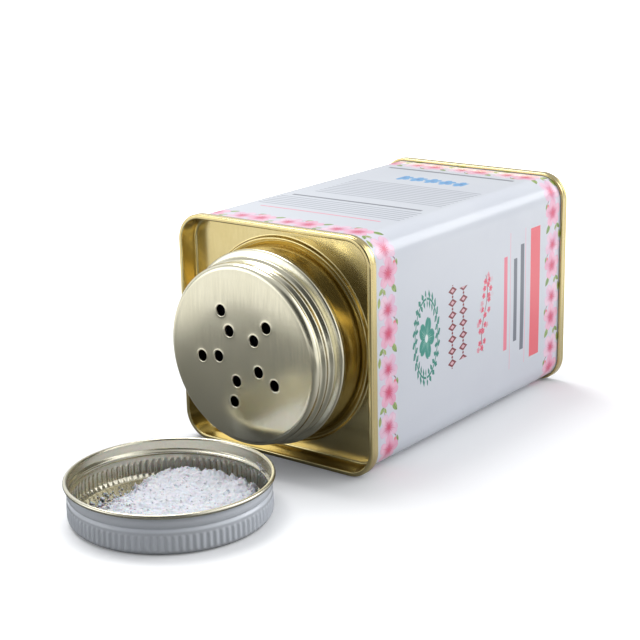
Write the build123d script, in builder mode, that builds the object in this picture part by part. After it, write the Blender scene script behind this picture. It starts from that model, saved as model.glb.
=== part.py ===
"""Talcum powder tin lying on its side, with its lid standing open beside it.

Millimetres, +Z up.  The tin's long axis runs along Y: the sifter neck points
to -Y and the closed end to +Y.  The lid stands upside down in front of the
neck with a little powder in it.  The origin is on the table, under the middle
of the whole set.
"""
from build123d import *
import math
import os

os.makedirs("parts", exist_ok=True)

# ---------------------------------------------------------------- dimensions
SIDE = 70.0            # across the rims of the square can, each way
LENGTH = 110.0         # rim to rim
CORNER_R = 8.5         # corner radius of the rim, seen from the end
FRONT_Y = -16.375      # plane of the front rim
BACK_Y = FRONT_Y + LENGTH
MID_Z = SIDE / 2
HALF = SIDE / 2
CORNER_C = HALF - CORNER_R      # centre of every concentric corner arc

SHEET = 0.25           # gauge of the tinplate
SEAM_H = 3.0           # height of the rolled double seam
# half widths, outside to inside, of the five layers of the double seam
SEAM_OUT = 35.00       # seaming wall, outer face
HOOK_B_OUT = 34.70     # body hook, outer face
HOOK_C_OUT = 34.40     # cover hook, outer face
BODY_OUT = 34.10       # body wall, outer face
CHUCK_OUT = 33.80      # chuck wall, outer face
PANEL_DEPTH = 5.8      # end panel below the rim plane

BEAD_R = 30.2          # raised ring round the neck collar
BEAD_H = 0.8
COLLAR_R = 28.4        # outside of the drawn collar that carries the neck

# sifter neck, distances measured from the front rim plane
NECK_SHEET = 0.30
FACE_A = -14.8         # sifter face
NECK_R = 26.2          # root of the thread
SHOULDER_R = 26.55
SKIRT_R = 28.8
SKIRT_A = -3.3         # edge of the flared skirt
THREAD_PITCH = 3.6
THREAD_CREST = 27.25
THREAD_TURNS = 1.5
THREAD_START_DEG = 95.0
THREAD_START_A = -11.2
HOLE_D = 3.2
HOLE_R_OUTER = 14.0    # pitch radius of the five outer holes
HOLE_R_INNER = 7.7
HOLE_PHASE = 44.5      # degrees, +X towards +Z

# lid, standing upside down
LID_X, LID_Y = 2.9, -65.125
LID_H = 11.5
LID_LIP_R = 28.5
LID_WALL_R = 27.6
LID_CORNER = 1.7
LID_RIBS = 96
LID_RIB_H = 4.2
LID_THREAD_R = 26.75   # crest of the thread inside the wall

AXIS_LINE = Axis((0, FRONT_Y, MID_Z), (0, 1, 0))
AXIS_PLANE = Plane(origin=(0, FRONT_Y, MID_Z), x_dir=(1, 0, 0), z_dir=(0, 0, 1))
LID_AXIS = Axis((LID_X, LID_Y, 0), (0, 0, 1))
LID_PLANE = Plane(origin=(LID_X, LID_Y, 0), x_dir=(1, 0, 0), z_dir=(0, -1, 0))


def across(a):
    """Plane square to the can, a millimetres behind the front rim."""
    return Plane(origin=(0, FRONT_Y + a, MID_Z), x_dir=(1, 0, 0), z_dir=(0, 1, 0))


def square(half):
    """Side and corner radius of the concentric rounded square of a half width."""
    return 2 * half, 2 * half, half - CORNER_C


def sheet(points, radii, t):
    """Both faces of a formed sheet: the given line, and the line t to its left."""
    n = len(points)
    off, inner = [], []
    for i, (x, y) in enumerate(points):
        d = []
        for j in (i - 1, i):
            if 0 <= j < n - 1:
                dx, dy = points[j + 1][0] - points[j][0], points[j + 1][1] - points[j][1]
                k = math.hypot(dx, dy)
                d.append((dx / k, dy / k))
        if len(d) == 1:
            off.append((x - d[0][1] * t, y + d[0][0] * t))
        else:
            (ax, ay), (bx, by) = d
            c = 1 + ax * bx + ay * by
            off.append((x - (ay + by) / c * t, y + (ax + bx) / c * t))
            inner.append(radii[len(inner)] + (t if ax * by - ay * bx < 0 else -t))
    return points, radii, off, inner


# ---------------------------------------------------------------- can body
# Rounded-square tube.  Each end flares out and turns back as the body hook of
# the double seam; a lapped weld runs along the underside.
with BuildPart() as body_shell:
    with BuildSketch(across(0.5)):
        RectangleRounded(*square(BODY_OUT))
        RectangleRounded(*square(BODY_OUT - SHEET), mode=Mode.SUBTRACT)
    extrude(amount=LENGTH - 1.0)
    for top, depth in ((0.5, SHEET), (LENGTH - 0.5 - SHEET, SHEET)):
        with BuildSketch(across(top)):
            RectangleRounded(*square(HOOK_B_OUT))
            RectangleRounded(*square(BODY_OUT - SHEET), mode=Mode.SUBTRACT)
        extrude(amount=depth)
    for top in (0.5, LENGTH - 2.5):
        with BuildSketch(across(top)):
            RectangleRounded(*square(HOOK_B_OUT))
            RectangleRounded(*square(HOOK_B_OUT - SHEET), mode=Mode.SUBTRACT)
        extrude(amount=2.0)
    # lap of the side seam, 0.2 mm proud of the wall that faces the table
    with BuildSketch(Plane(origin=(-22, FRONT_Y + LENGTH / 2, MID_Z - BODY_OUT),
                           x_dir=(1, 0, 0), z_dir=(0, 0, -1))):
        Rectangle(1.6, LENGTH - 7.0)
    extrude(amount=0.2)
body_shell.part.label = "body_shell"
export_step(body_shell.part, "parts/body_shell.step")

# ---------------------------------------------------------------- neck end
# Recessed end panel: seaming wall, cover hook, chuck wall, flat panel with a
# raised ring, and the drawn collar that the sifter neck is clinched to.
with BuildPart() as top_end:
    with BuildSketch(across(0)):
        RectangleRounded(*square(SEAM_OUT))
    extrude(amount=SEAM_H)
    with BuildSketch(across(SHEET)):
        RectangleRounded(*square(SEAM_OUT - SHEET))
    extrude(amount=SEAM_H - 2 * SHEET, mode=Mode.SUBTRACT)
    with BuildSketch(across(SEAM_H - SHEET)):
        RectangleRounded(*square(HOOK_C_OUT - SHEET))
    extrude(amount=SHEET, mode=Mode.SUBTRACT)
    with BuildSketch(across(1.0)):
        RectangleRounded(*square(HOOK_C_OUT))
        RectangleRounded(*square(HOOK_C_OUT - SHEET), mode=Mode.SUBTRACT)
    extrude(amount=SEAM_H - 1.0)
    with BuildSketch(across(0)):
        RectangleRounded(*square(CHUCK_OUT))
    extrude(amount=PANEL_DEPTH + SHEET)
    with BuildSketch(across(0)):
        RectangleRounded(*square(CHUCK_OUT - SHEET))
    extrude(amount=PANEL_DEPTH, mode=Mode.SUBTRACT)
    panel_rim = top_end.faces().filter_by(
        lambda f: abs(f.center().Y - (FRONT_Y + PANEL_DEPTH)) < 0.01)[0]
    fillet(panel_rim.edges(), radius=1.0)
    fillet(top_end.edges().group_by(Axis.Y)[-1], radius=1.25)
    crown = top_end.faces().filter_by(
        lambda f: abs(f.center().Y - FRONT_Y) < 0.01)[0]
    fillet(crown.outer_wire().edges(), radius=0.45)
    fillet(top_end.faces().filter_by(
        lambda f: abs(f.center().Y - FRONT_Y) < 0.01)[0].inner_wires()[0].edges(),
        radius=0.2)
    with BuildSketch(across(-1)):
        Circle(BEAD_R + 0.75)
    extrude(amount=PANEL_DEPTH + 3, mode=Mode.SUBTRACT)
    o, ro, i, ri = sheet(
        [(BEAD_R + 0.9, PANEL_DEPTH), (BEAD_R + 0.5, PANEL_DEPTH),
         (BEAD_R + 0.3, PANEL_DEPTH - BEAD_H), (BEAD_R - 0.3, PANEL_DEPTH - BEAD_H),
         (BEAD_R - 0.5, PANEL_DEPTH + 0.1), (COLLAR_R, PANEL_DEPTH + 0.1),
         (COLLAR_R, -4.15), (COLLAR_R - 1.1, -4.15)],
        [0.15, 0.28, 0.28, 0.30, 0.70, 0.45], -SHEET)
    with BuildSketch(AXIS_PLANE):
        with BuildLine():
            FilletPolyline(*o, radius=ro)
            FilletPolyline(*i, radius=ri)
            Line(o[0], i[0])
            Line(o[-1], i[-1])
        make_face()
    revolve(axis=AXIS_LINE)
top_end.part.label = "top_end"
export_step(top_end.part, "parts/top_end.step")

# ---------------------------------------------------------------- closed end
# The same double seam, round a plain panel with one stiffening step.
with BuildPart() as bottom_end:
    with BuildSketch(across(LENGTH - SEAM_H)):
        RectangleRounded(*square(SEAM_OUT))
    extrude(amount=SEAM_H)
    with BuildSketch(across(LENGTH - SEAM_H + SHEET)):
        RectangleRounded(*square(SEAM_OUT - SHEET))
    extrude(amount=SEAM_H - 2 * SHEET, mode=Mode.SUBTRACT)
    with BuildSketch(across(LENGTH - SEAM_H)):
        RectangleRounded(*square(HOOK_C_OUT - SHEET))
    extrude(amount=SHEET, mode=Mode.SUBTRACT)
    with BuildSketch(across(LENGTH - SEAM_H)):
        RectangleRounded(*square(HOOK_C_OUT))
        RectangleRounded(*square(HOOK_C_OUT - SHEET), mode=Mode.SUBTRACT)
    extrude(amount=SEAM_H - 1.0)
    with BuildSketch(across(LENGTH - PANEL_DEPTH - SHEET)):
        RectangleRounded(*square(CHUCK_OUT))
    extrude(amount=PANEL_DEPTH + SHEET)
    with BuildSketch(across(LENGTH - PANEL_DEPTH)):
        RectangleRounded(*square(CHUCK_OUT - SHEET))
    extrude(amount=PANEL_DEPTH, mode=Mode.SUBTRACT)
    floor_face = bottom_end.faces().filter_by(
        lambda f: abs(f.center().Y - (BACK_Y - PANEL_DEPTH)) < 0.01)[0]
    fillet(floor_face.edges(), radius=1.0)
    fillet(bottom_end.edges().group_by(Axis.Y)[0], radius=1.25)
    crown = bottom_end.faces().filter_by(
        lambda f: abs(f.center().Y - BACK_Y) < 0.01)[0]
    fillet(crown.outer_wire().edges(), radius=0.45)
    # stiffening step: the middle of the panel stands 1 mm further out
    with BuildSketch(across(LENGTH - PANEL_DEPTH)):
        RectangleRounded(54, 54, 7)
    extrude(amount=1.0, taper=30)
    with BuildSketch(across(LENGTH - PANEL_DEPTH - SHEET)):
        RectangleRounded(53.4, 53.4, 6.7)
    extrude(amount=1.0, taper=30, mode=Mode.SUBTRACT)
bottom_end.part.label = "bottom_end"
export_step(bottom_end.part, "parts/bottom_end.step")

# ---------------------------------------------------------------- seam sealant
# A thin bead of lining compound squeezed between each end and the body hook.
with BuildPart() as top_seam_compound:
    with BuildSketch(across(0.28)):
        RectangleRounded(*square(HOOK_B_OUT - 0.02))
        RectangleRounded(*square(BODY_OUT - SHEET + 0.05), mode=Mode.SUBTRACT)
    extrude(amount=0.2)
top_seam_compound.part.label = "top_seam_compound"
export_step(top_seam_compound.part, "parts/top_seam_compound.step")

with BuildPart() as bottom_seam_compound:
    with BuildSketch(across(LENGTH - 0.48)):
        RectangleRounded(*square(HOOK_B_OUT - 0.02))
        RectangleRounded(*square(BODY_OUT - SHEET + 0.05), mode=Mode.SUBTRACT)
    extrude(amount=0.2)
bottom_seam_compound.part.label = "bottom_seam_compound"
export_step(bottom_seam_compound.part, "parts/bottom_seam_compound.step")

# ---------------------------------------------------------------- sifter neck
# Drawn cup: flat perforated face, rounded shoulder, threaded wall and a skirt
# that flares out over the top of the collar.
start = math.radians(THREAD_START_DEG)
thread_path = Plane(origin=(0, FRONT_Y + THREAD_START_A, MID_Z),
                    x_dir=(math.cos(start), 0, math.sin(start)), z_dir=(0, 1, 0)) * Helix(
    pitch=THREAD_PITCH, height=THREAD_PITCH * THREAD_TURNS, radius=THREAD_CREST - 0.62)
with BuildPart() as sifter_neck:
    o, ro, i, ri = sheet(
        [(0, FACE_A), (SHOULDER_R, FACE_A), (SHOULDER_R, -12.5), (NECK_R, -12.15),
         (NECK_R, -5.75), (SKIRT_R, -4.85), (SKIRT_R, SKIRT_A)],
        [1.80, 0.36, 0.12, 0.60, 0.50], NECK_SHEET)
    with BuildSketch(AXIS_PLANE):
        with BuildLine():
            FilletPolyline(*o, radius=ro)
            FilletPolyline(*i, radius=ri)
            Line(o[0], i[0])
            Line(o[-1], i[-1])
        make_face()
    revolve(axis=AXIS_LINE)
    with Locations(Location(Plane(origin=(0, FRONT_Y + FACE_A, MID_Z),
                                  x_dir=(1, 0, 0), z_dir=(0, -1, 0)))):
        with PolarLocations(HOLE_R_OUTER, 5, start_angle=HOLE_PHASE):
            Cylinder(HOLE_D / 2, 2.0, mode=Mode.SUBTRACT)
        with PolarLocations(HOLE_R_INNER, 5, start_angle=HOLE_PHASE):
            Cylinder(HOLE_D / 2, 2.0, mode=Mode.SUBTRACT)
    with BuildSketch(Plane(origin=thread_path @ 0, z_dir=thread_path % 0)):
        Circle(0.62)
    sweep(path=thread_path, is_frenet=True)
sifter_neck.part.label = "sifter_neck"
export_step(sifter_neck.part, "parts/sifter_neck.step")

# ---------------------------------------------------------------- lid
# Shallow drawn cup with a curled lip, a knurled band next to its flat top and
# an inward thread under the groove in its wall.
lid_thread_path = Plane(origin=(LID_X, LID_Y, 5.6), x_dir=(0, -1, 0), z_dir=(0, 0, 1)) * Helix(
    pitch=THREAD_PITCH, height=THREAD_PITCH * 1.15, radius=LID_THREAD_R + 0.42)
with BuildPart() as lid_shell:
    o, ro, i, ri = sheet(
        [(0, 0), (LID_WALL_R, 0), (LID_WALL_R, 6.3), (LID_WALL_R - 0.4, 7.1),
         (LID_WALL_R, 7.9), (LID_WALL_R, LID_H - 1.3), (LID_WALL_R + 0.3, LID_H - 0.62)],
        [LID_CORNER, 0.5, 0.6, 0.5, 0.5], SHEET)
    with BuildSketch(LID_PLANE):
        with BuildLine():
            FilletPolyline(*o, radius=ro)
            FilletPolyline(*i, radius=ri)
            Line(o[0], i[0])
            Line(o[-1], i[-1])
        make_face()
    revolve(axis=LID_AXIS)
    with BuildSketch(LID_PLANE):
        with Locations((LID_LIP_R - 0.62, LID_H - 0.62)):
            Circle(0.62)
            Circle(0.32, mode=Mode.SUBTRACT)
    revolve(axis=LID_AXIS)
    with Locations((LID_X, LID_Y, LID_CORNER)):
        with PolarLocations(LID_WALL_R - 0.05, LID_RIBS):
            Cylinder(0.28, LID_RIB_H, align=(Align.CENTER, Align.CENTER, Align.MIN))
    with BuildSketch(Plane(origin=lid_thread_path @ 0, z_dir=lid_thread_path % 0)):
        Circle(0.42)
    sweep(path=lid_thread_path, is_frenet=True)
lid_shell.part.label = "lid_shell"
export_step(lid_shell.part, "parts/lid_shell.step")

# ---------------------------------------------------------------- powder
HEAP_FLOOR = SHEET
# Heap in the lid: ragged on its left, banked against the wall furthest from
# the neck's left side, its top sloping down towards the front.
with BuildPart() as powder_heap:
    with BuildSketch(Plane(origin=(LID_X, LID_Y, HEAP_FLOOR))):
        with BuildLine():
            Spline((-21.5, 9.0), (-19.0, 5.0), (-16.0, 2.5), (-16.5, -1.0), (-12.0, -4.0),
                   (-11.0, -8.5), (-7.0, -12.5), (-5.5, -18.0), (0.0, -23.5), (9.0, -24.3),
                   (18.0, -17.8), (24.3, -7.0), (25.0, 4.5), (20.5, 14.5), (12.5, 21.8),
                   (3.0, 25.0), (-7.0, 24.0), (-15.5, 19.3), (-20.5, 13.8), periodic=True)
        make_face()
    extrude(amount=6.0, taper=-4)
    # stays inside the lid's wall
    with BuildSketch(LID_PLANE):
        with BuildLine():
            FilletPolyline((0, HEAP_FLOOR), (26.6, HEAP_FLOOR), (26.6, 7.0), radius=1.6)
            Polyline((26.6, 7.0), (0, 7.0), (0, HEAP_FLOOR))
        make_face()
    revolve(axis=LID_AXIS, mode=Mode.INTERSECT)
    # top slopes up towards the back wall
    split(bisect_by=Plane(origin=(LID_X, LID_Y, 2.9), x_dir=(1, 0, 0), z_dir=(0.02, -0.105, 1)),
          keep=Keep.BOTTOM)
powder_heap.part.label = "powder_heap"
export_step(powder_heap.part, "parts/powder_heap.step")

# Loose crumbs on the bare part of the lid's floor.
CRUMBS = [(-23.2, -1.5, 0.75), (-21.6, -4.8, 0.90), (-20.3, -0.6, 0.55), (-19.4, -7.8, 0.95),
          (-18.0, -4.2, 0.70), (-22.3, -8.2, 0.60), (-16.9, -10.9, 0.85), (-19.8, -12.3, 0.55),
          (-15.2, -7.0, 0.60), (-14.2, -13.6, 0.80), (-16.4, -15.7, 0.60), (-11.9, -16.8, 0.70),
          (-13.2, -19.4, 0.50), (-9.0, -20.2, 0.60), (-18.6, 1.4, 0.45)]
with BuildPart() as powder_crumbs:
    for x, y, r in CRUMBS:
        with Locations((LID_X + x, LID_Y + y, HEAP_FLOOR + r * 0.9)):
            Sphere(r)
    with BuildSketch(Plane(origin=(LID_X, LID_Y, HEAP_FLOOR))):
        Circle(26.0)
    extrude(amount=3.0, mode=Mode.INTERSECT)
powder_crumbs.part.label = "powder_crumbs"
export_step(powder_crumbs.part, "parts/powder_crumbs.step")

# Powder left in the can: settled against the closed end at its angle of repose.
with BuildPart() as powder_charge:
    with BuildSketch(Plane(origin=(-HALF, FRONT_Y, 0), x_dir=(0, 1, 0), z_dir=(1, 0, 0))):
        with BuildLine():
            Polyline((16.0, 1.3), (52.0, 24.0), (103.2, 30.0), (103.2, 1.3), close=True)
        make_face()
    extrude(amount=SIDE)
    with BuildSketch(across(6)):
        RectangleRounded(*square(BODY_OUT - SHEET - 0.15))
    extrude(amount=LENGTH, mode=Mode.INTERSECT)
powder_charge.part.label = "powder_charge"
export_step(powder_charge.part, "parts/powder_charge.step")
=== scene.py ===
import math

import bpy
import numpy as np
from mathutils import Matrix, Vector, geometry


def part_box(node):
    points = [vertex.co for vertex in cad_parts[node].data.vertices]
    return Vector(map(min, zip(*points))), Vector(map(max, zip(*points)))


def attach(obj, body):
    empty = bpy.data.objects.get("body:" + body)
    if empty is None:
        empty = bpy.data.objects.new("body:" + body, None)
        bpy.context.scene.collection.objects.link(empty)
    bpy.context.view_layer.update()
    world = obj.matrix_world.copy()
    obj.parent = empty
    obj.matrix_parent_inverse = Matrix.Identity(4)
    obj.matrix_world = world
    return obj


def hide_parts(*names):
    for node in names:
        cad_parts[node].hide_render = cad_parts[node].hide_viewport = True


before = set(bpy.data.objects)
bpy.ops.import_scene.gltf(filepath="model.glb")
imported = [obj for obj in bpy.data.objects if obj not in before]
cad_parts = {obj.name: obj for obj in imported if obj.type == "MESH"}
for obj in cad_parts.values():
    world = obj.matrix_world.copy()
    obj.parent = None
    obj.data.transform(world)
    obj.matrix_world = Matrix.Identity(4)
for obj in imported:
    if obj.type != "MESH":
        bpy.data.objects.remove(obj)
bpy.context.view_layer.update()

RNG = np.random.default_rng(41)
SCENE = bpy.context.scene
MM = 0.001

# ------------------------------------------------------------------ frame facts
body_lo, body_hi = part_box("body_shell")
end_lo, end_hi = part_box("top_end")
lid_lo, lid_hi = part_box("lid_shell")
Y0 = body_lo[1] * 1000 - 0.5                 # front rim plane, mm
LEN = (body_hi[1] - body_lo[1]) * 1000 + 1.0
HALF = end_hi[0] * 1000
MIDZ = (end_hi[2] + end_lo[2]) * 500
CC = HALF - 8.5                              # centre of the corner arcs
BODY = HALF - 0.9                            # body wall, half width
LX = (lid_lo[0] + lid_hi[0]) * 500
LY = (lid_lo[1] + lid_hi[1]) * 500
LH = lid_hi[2] * 1000
LID_R = (lid_hi[0] - lid_lo[0]) * 500


# ------------------------------------------------------------------ mesh helpers
def make(name, verts, faces, smooth=True):
    me = bpy.data.meshes.new(name)
    me.from_pydata([tuple(v) for v in np.asarray(verts, float) * MM], [], faces)
    me.validate()
    me.update()
    if smooth:
        me.polygons.foreach_set("use_smooth", [True] * len(me.polygons))
    ob = bpy.data.objects.new(name, me)
    bpy.context.collection.objects.link(ob)
    return ob


def grid_faces(nv, nu, close_u=True, close_v=False, base=0, flip=False):
    out = []
    for j in range(nv if close_v else nv - 1):
        j2 = (j + 1) % nv
        for i in range(nu if close_u else nu - 1):
            i2 = (i + 1) % nu
            f = (base + j * nu + i, base + j * nu + i2, base + j2 * nu + i2, base + j2 * nu + i)
            out.append(f[::-1] if flip else f)
    return out


def square_columns(ns, na):
    """Unit description of the columns of a rounded square, starting at the middle of +X and going towards +Z."""
    cols = []
    for side in range(4):
        rot = side * math.pi / 2
        for i in range(ns):
            t = -1 + 2 * i / ns
            cols.append((rot, t, None))
        for i in range(na):
            cols.append((rot, 1.0, i / na * math.pi / 2))
    k = ns // 2
    return cols[k:] + cols[:k]


def square_ring(cols, h, c=None):
    """(x, z) of each column on the rounded square of half width h, with corner centres at c."""
    c = CC if c is None else c
    out = np.zeros((len(cols), 2))
    for i, (rot, t, arc) in enumerate(cols):
        if arc is None:
            p = (h, t * c)
        else:
            r = h - c
            p = (c + r * math.cos(arc), c + r * math.sin(arc))
        cr, sr = math.cos(rot), math.sin(rot)
        out[i] = (p[0] * cr - p[1] * sr, p[0] * sr + p[1] * cr)
    return out


def arc_pts(cx, cy, r, a0, a1, n):
    return [(cx + r * math.cos(math.radians(a0 + (a1 - a0) * i / n)),
             cy + r * math.sin(math.radians(a0 + (a1 - a0) * i / n))) for i in range(n + 1)]


# ------------------------------------------------------------------ node language
class N:
    """A socket with arithmetic, so that procedural patterns read as formulas."""
    tree = None

    def __init__(self, s):
        self.s = s

    @staticmethod
    def op(kind, *args, clamp=False):
        n = N.tree.nodes.new("ShaderNodeMath")
        n.operation = kind
        n.use_clamp = clamp
        for i, a in enumerate(args):
            if isinstance(a, N):
                N.tree.links.new(a.s, n.inputs[i])
            else:
                n.inputs[i].default_value = float(a)
        return N(n.outputs[0])

    def __add__(self, o): return N.op("ADD", self, o)
    def __radd__(self, o): return N.op("ADD", self, o)
    def __sub__(self, o): return N.op("SUBTRACT", self, o)
    def __rsub__(self, o): return N.op("SUBTRACT", o, self)
    def __mul__(self, o): return N.op("MULTIPLY", self, o)
    def __rmul__(self, o): return N.op("MULTIPLY", self, o)
    def __truediv__(self, o): return N.op("DIVIDE", self, o)
    def __neg__(self): return N.op("MULTIPLY", self, -1)


def nsin(a): return N.op("SINE", a)
def ncos(a): return N.op("COSINE", a)
def nabs(a): return N.op("ABSOLUTE", a)
def nmin(a, b): return N.op("MINIMUM", a, b)
def nmax(a, b): return N.op("MAXIMUM", a, b)
def nsqrt(a): return N.op("SQRT", a)
def nfloor(a): return N.op("FLOOR", a)
def natan2(a, b): return N.op("ARCTAN2", a, b)
def ngt(a, b): return N.op("GREATER_THAN", a, b)
def nwrap(a, lo, hi): return N.op("WRAP", a, hi, lo)


def smooth(x, lo, hi):
    """1 below lo, 0 above hi."""
    n = N.tree.nodes.new("ShaderNodeMapRange")
    n.interpolation_type = "SMOOTHSTEP"
    N.tree.links.new(x.s, n.inputs["Value"])
    n.inputs["From Min"].default_value = lo
    n.inputs["From Max"].default_value = hi
    n.inputs["To Min"].default_value = 1.0
    n.inputs["To Max"].default_value = 0.0
    return N(n.outputs["Result"])


def mix(f, a, b):
    """Colour a where f is 0, b where f is 1."""
    n = N.tree.nodes.new("ShaderNodeMix")
    n.data_type = "RGBA"
    n.clamp_factor = True
    for sock, v in ((n.inputs[0], f), (n.inputs[6], a), (n.inputs[7], b)):
        if isinstance(v, N):
            N.tree.links.new(v.s, sock)
        elif isinstance(v, (int, float)):
            sock.default_value = v
        else:
            sock.default_value = tuple(v) + (1.0,)
    return N(n.outputs[2])


def srgb(r, g, b):
    return tuple((c / 255 / 12.92) if c / 255 <= 0.04045 else ((c / 255 + 0.055) / 1.055) ** 2.4
                 for c in (r, g, b))


def new_mat(name):
    m = bpy.data.materials.new(name)
    m.use_nodes = True
    N.tree = m.node_tree
    return m, m.node_tree, m.node_tree.nodes["Principled BSDF"]


def attr(name):
    n = N.tree.nodes.new("ShaderNodeAttribute")
    n.attribute_name = name
    return n


def split(vec):
    n = N.tree.nodes.new("ShaderNodeSeparateXYZ")
    N.tree.links.new(vec, n.inputs[0])
    return N(n.outputs[0]), N(n.outputs[1]), N(n.outputs[2])


def combine(x, y, z=0.0):
    n = N.tree.nodes.new("ShaderNodeCombineXYZ")
    for i, v in enumerate((x, y, z)):
        if isinstance(v, N):
            N.tree.links.new(v.s, n.inputs[i])
        else:
            n.inputs[i].default_value = v
    return n.outputs[0]


def coords():
    n = N.tree.nodes.new("ShaderNodeTexCoord")
    return n.outputs["Object"]


def coords_world():
    n = N.tree.nodes.new("ShaderNodeTexCoord")
    return n.outputs["Generated"]


def scaled(vec, sx, sy, sz):
    n = N.tree.nodes.new("ShaderNodeMapping")
    n.inputs["Scale"].default_value = (sx, sy, sz)
    N.tree.links.new(vec, n.inputs["Vector"])
    return n.outputs["Vector"]


def noise(vec, scale, detail=2.0, rough=0.5):
    n = N.tree.nodes.new("ShaderNodeTexNoise")
    N.tree.links.new(vec, n.inputs["Vector"])
    n.inputs["Scale"].default_value = scale
    n.inputs["Detail"].default_value = detail
    n.inputs["Roughness"].default_value = rough
    return N(n.outputs["Fac"])


def bump(height, strength, distance, bsdf, prev=None):
    n = N.tree.nodes.new("ShaderNodeBump")
    n.inputs["Strength"].default_value = strength
    n.inputs["Distance"].default_value = distance
    N.tree.links.new(height.s, n.inputs["Height"])
    if prev is not None:
        N.tree.links.new(prev, n.inputs["Normal"])
    N.tree.links.new(n.outputs[0], bsdf.inputs["Normal"])
    return n.outputs[0]


def set_in(bsdf, **kw):
    for k, v in kw.items():
        s = bsdf.inputs[k.replace("_", " ")]
        if isinstance(v, N):
            N.tree.links.new(v.s, s)
        elif isinstance(v, tuple):
            s.default_value = v + (1.0,) if len(v) == 3 else v
        else:
            s.default_value = v


# ------------------------------------------------------------------ materials
def metal(name, light, deep, rough, grain=(1, 1, 1), grain_scale=900, grain_amt=0.10,
          coat=0.0, bump_mm=0.006):
    """Lacquered tinplate: metallic, a little mottled, with fine rolling grain and a few scuffs."""
    m, t, b = new_mat(name)
    o = coords()
    blotch = noise(o, 60, 3, 0.6)
    fine = noise(scaled(o, *grain), grain_scale, 3, 0.6)
    cross = noise(scaled(o, grain[2], grain[1], grain[0]), grain_scale * 0.8, 2, 0.5)
    set_in(b, Metallic=1.0, Coat_Roughness=0.08, Coat_Weight=coat)
    f = smooth(blotch * 0.5 + fine * 0.35 + cross * 0.15, 0.36, 0.64)
    set_in(b, Base_Color=mix(f, deep, light))
    set_in(b, Roughness=rough + (fine - 0.5) * grain_amt + (blotch - 0.5) * 0.06)
    scuff = smooth(nabs(noise(scaled(o, 1, 1, 0.35), 240, 4, 0.65) - 0.5), 0.0, 0.015)
    h = fine * 0.6 + cross * 0.25 + noise(o, 2600, 2, 0.6) * 0.15 - scuff * 0.10
    bump(h, 0.5, bump_mm * MM, b)
    return m


GOLD = metal("gold_lacquer", (0.70, 0.585, 0.285), (0.655, 0.53, 0.235), 0.20, (1, 1, 0.12), 1500,
             0.08, coat=0.55)
NECK = metal("pale_neck", (0.775, 0.735, 0.575), (0.725, 0.685, 0.52), 0.22, (1, 1, 0.07), 1500, 0.16,
             coat=0.10, bump_mm=0.016)
LID_IN = metal("lid_inside", (0.70, 0.665, 0.54), (0.655, 0.62, 0.49), 0.25, (1, 1, 1), 1100, 0.10,
               coat=0.2)
SEAL = metal("sealant", (0.25, 0.24, 0.22), (0.2, 0.19, 0.18), 0.6)


def white_enamel(name, base, tint):
    m, t, b = new_mat(name)
    o = coords()
    n1 = noise(o, 45, 3, 0.55)
    peel = noise(o, 900, 2, 0.5)
    set_in(b, Base_Color=mix(smooth(n1, 0.35, 0.65), base, tint), Metallic=0.0,
           Coat_Weight=0.6, Coat_Roughness=0.05)
    set_in(b, Roughness=0.24 + (peel - 0.5) * 0.10)
    bump(noise(o, 160, 2, 0.5), 0.12, 0.02 * MM, b)
    return m


LID_WHITE = white_enamel("white_lacquer", (0.72, 0.75, 0.81), (0.75, 0.78, 0.835))


def petal_flower(x, y, rad, rot, seed=0.0):
    """Masks of a five-petalled blossom centred on 0: petals, heart, streaks, stamens and the petals' pale edge."""
    r = nsqrt(x * x + y * y) / rad
    th = natan2(y, x) + rot
    f = nwrap(th * (5 / (2 * math.pi)), -0.5, 0.5)
    phi = f * (2 * math.pi / 5)
    px, py = r * ncos(phi), nabs(r * nsin(phi))
    # one petal: an egg with a shallow notch at its tip
    ex = (px - 0.56) / 0.44
    ey = py / (0.365 + (px - 0.5) * 0.10)
    egg = nsqrt(ex * ex + ey * ey)
    notch = smooth(py, 0.0, 0.10) * smooth(1.0 - px, 0.0, 0.16)
    d = egg + notch * 0.22
    petals = nmax(smooth(d, 0.93, 1.03), smooth(r, 0.18, 0.24))
    heart = smooth(r, 0.06, 0.34)
    q = py / nmax(r, 0.05)
    long = smooth(q, 0.01, 0.055) * smooth(r, 0.30, 0.90)
    side = smooth(nabs(q - 0.20), 0.005, 0.05) * smooth(r, 0.25, 0.72)
    outer = smooth(nabs(q - 0.40), 0.005, 0.06) * smooth(r, 0.20, 0.60)
    streak = nmax(long, nmax(side * 0.9, outer * 0.75))
    stam = smooth(nabs(nwrap(th * (13 / (2 * math.pi)), -0.5, 0.5)), 0.04, 0.2) * smooth(
        nabs(r - 0.22), 0.08, 0.22)
    rimline = smooth(nabs(d - 0.93), 0.01, 0.08)
    return petals, heart, streak, stam, rimline


def leaf(x, y, cx, cy, ang, length, width):
    """(mask, midrib) of a pointed leaf centred on (cx, cy)."""
    ca, sa = math.cos(ang), math.sin(ang)
    dx, dy = x - cx, y - cy
    u = (dx * ca + dy * sa) / (length / 2)
    v = (dy * ca - dx * sa) / (width / 2)
    shape = 1 - u * u
    m = smooth(nabs(v) - shape, -0.12, 0.06) * smooth(nabs(u), 0.93, 1.0)
    rib = smooth(nabs(v), 0.05, 0.2)
    return m, rib


def line(x, y, x0, y0, x1, y1, w, soft=0.06):
    """Mask of a straight stroke."""
    L = math.hypot(x1 - x0, y1 - y0)
    ux, uy = (x1 - x0) / L, (y1 - y0) / L
    dx, dy = x - x0, y - y0
    t = nmin(nmax(dx * ux + dy * uy, 0.0), L)
    ex, ey = dx - t * ux, dy - t * uy
    return smooth(nsqrt(ex * ex + ey * ey), w / 2 - soft, w / 2 + soft)


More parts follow.
